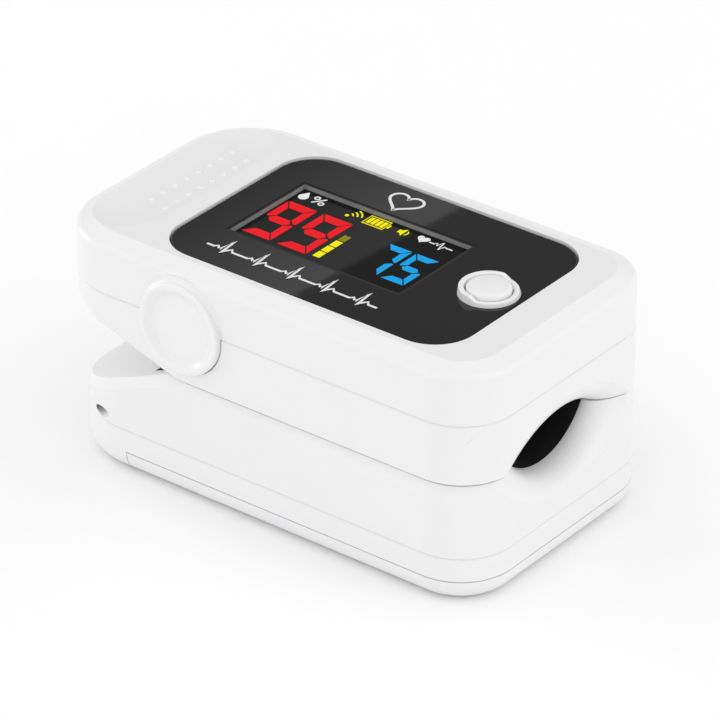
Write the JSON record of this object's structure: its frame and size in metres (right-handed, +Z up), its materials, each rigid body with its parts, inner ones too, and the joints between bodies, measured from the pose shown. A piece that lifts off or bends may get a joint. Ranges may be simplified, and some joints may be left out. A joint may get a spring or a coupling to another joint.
{
  "type": "fingertip pulse oximeter",
  "caption": "White spring clip with a finger channel between two hinged shells, a black display window, a round push button and a sliding battery cover.",
  "frame": {"origin": "on the table, under the middle of the closed clips' bounding box", "axes": "+X out of the finger opening, +Y to the left of a finger going in, +Z up"},
  "size_m": [0.0642, 0.0382, 0.0322],
  "materials": {
    "white_shell": "moulded ABS, satin gloss",
    "white_trim": "moulded ABS, gloss",
    "black_window": "black printed acrylic, gloss",
    "display": "dark display glass with lit digits",
    "grey_gasket": "grey moulded plastic, matte",
    "black_silicone": "moulded silicone, matte",
    "clear_window": "clear moulded acrylic",
    "circuit_board": "green solder mask",
    "black_part": "black moulded epoxy",
    "steel": "nickel plated steel",
    "battery": "lacquered metal can",
    "ribbon": "polyimide ribbon"
  },
  "bodies": {
    "lower_clip": {"lower_housing": "white_shell", "lower_base": "white_shell", "lower_finger_pad": "black_silicone", "sensor_board": "circuit_board", "sensor_diode": "black_part", "sensor_window": "clear_window", "hinge_pin": "steel", "closing_spring_left": "steel", "closing_spring_right": "steel", "contact_springs": "steel", "back_contacts": "steel", "front_contacts": "steel", "lower_screws": "steel", "battery_cell_left": "battery", "battery_cell_right": "battery", "sensor_lead": "ribbon"},
    "upper_clip": {"top_cover": "white_shell", "upper_housing": "white_shell", "display_window": "black_window", "display_bezel": "grey_gasket", "display_panel": "display", "button_ring": "white_trim", "button_switch": "steel", "main_board": "circuit_board", "board_chips": "black_part", "buzzer": "black_part", "upper_finger_pad": "black_silicone", "emitter_board": "circuit_board", "emitter_diode": "black_part", "emitter_window": "clear_window", "side_cap_left": "white_trim", "side_cap_right": "white_trim", "upper_screws": "steel", "board_lead": "ribbon", "emitter_lead": "ribbon"},
    "button": {"power_button": "white_trim"},
    "cover": {"battery_cover": "white_shell"}
  },
  "joints": [
    {"name": "clip_open", "type": "hinge", "parent": "lower_clip", "child": "upper_clip", "pos_m": [-0.014, 0, 0.016], "axis": [0, -1, 0], "range_deg": [0, 22], "stiffness_Nm_per_rad": 0.08, "springref_deg": -28.65, "deforming": ["closing_spring_left", "closing_spring_right"]},
    {"name": "button_press", "type": "slide", "parent": "upper_clip", "child": "button", "axis": [0, 0, -1], "range_m": [0, 0.0006], "stiffness_N_per_m": 400, "springref_m": -0.0005},
    {"name": "cover_slide", "type": "slide", "parent": "lower_clip", "child": "cover", "axis": [1, 0, 0], "range_m": [0, 0.056]}
  ]
}
